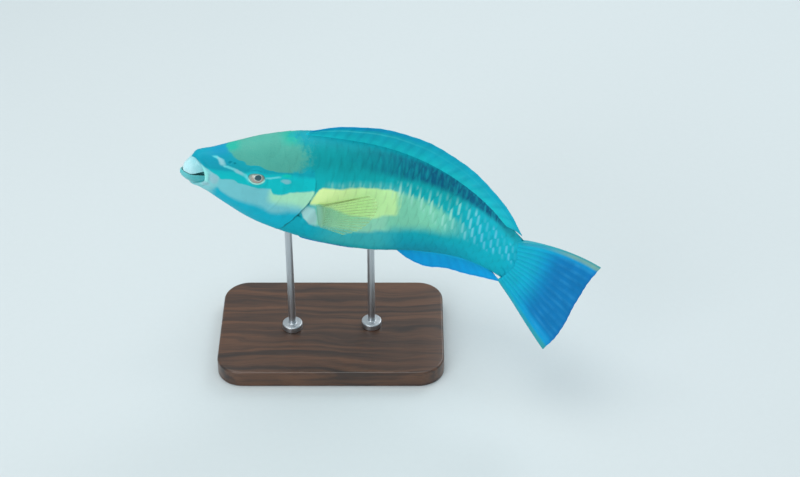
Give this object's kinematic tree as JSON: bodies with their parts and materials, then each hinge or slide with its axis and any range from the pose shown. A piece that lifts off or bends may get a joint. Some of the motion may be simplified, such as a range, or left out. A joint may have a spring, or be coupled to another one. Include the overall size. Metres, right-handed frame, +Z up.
{
  "type": "parrotfish display model",
  "caption": "Life-size still model of a slim reef fish with a beak, its body curved to its left, held nose up by two rods on a flat base.",
  "frame": {"origin": "centre of the underside of the stand's base, on the surface it stands on", "axes": "+Z up; the fish's snout points along -X, its left flank faces -Y, and its tail bends towards -Y"},
  "size_m": [0.2705, 0.1197, 0.1785],
  "materials": {
    "skin": "wet scaly skin, teal with a yellow flank patch and blue belly, satin sheen",
    "beak": "polished bone-white to pale teal tooth plates",
    "eye": "clear wet eye over a pinkish tan iris and black pupil",
    "blue_fin": "thin blue membrane over fine rays, satin",
    "clear_fin": "thin pale yellow-green membrane over dark olive rays, satin",
    "wood": "dark stained hardwood, satin lacquer",
    "steel": "brushed along its length"
  },
  "bodies": {
    "root": {"head": "skin", "gill_cover_left": "skin", "gill_cover_right": "skin", "trunk": "skin", "tail_stem": "skin", "upper_beak": "beak", "lower_beak": "beak", "eye_left": "eye", "eye_right": "eye", "dorsal_fin": "blue_fin", "anal_fin": "blue_fin", "tail_fin": "blue_fin", "pectoral_fin_left": "clear_fin", "pectoral_fin_right": "clear_fin", "pelvic_fin_left": "blue_fin", "pelvic_fin_right": "blue_fin", "stand_base": "wood", "stand_rod_front": "steel", "stand_rod_rear": "steel"}
  },
  "joints": []
}
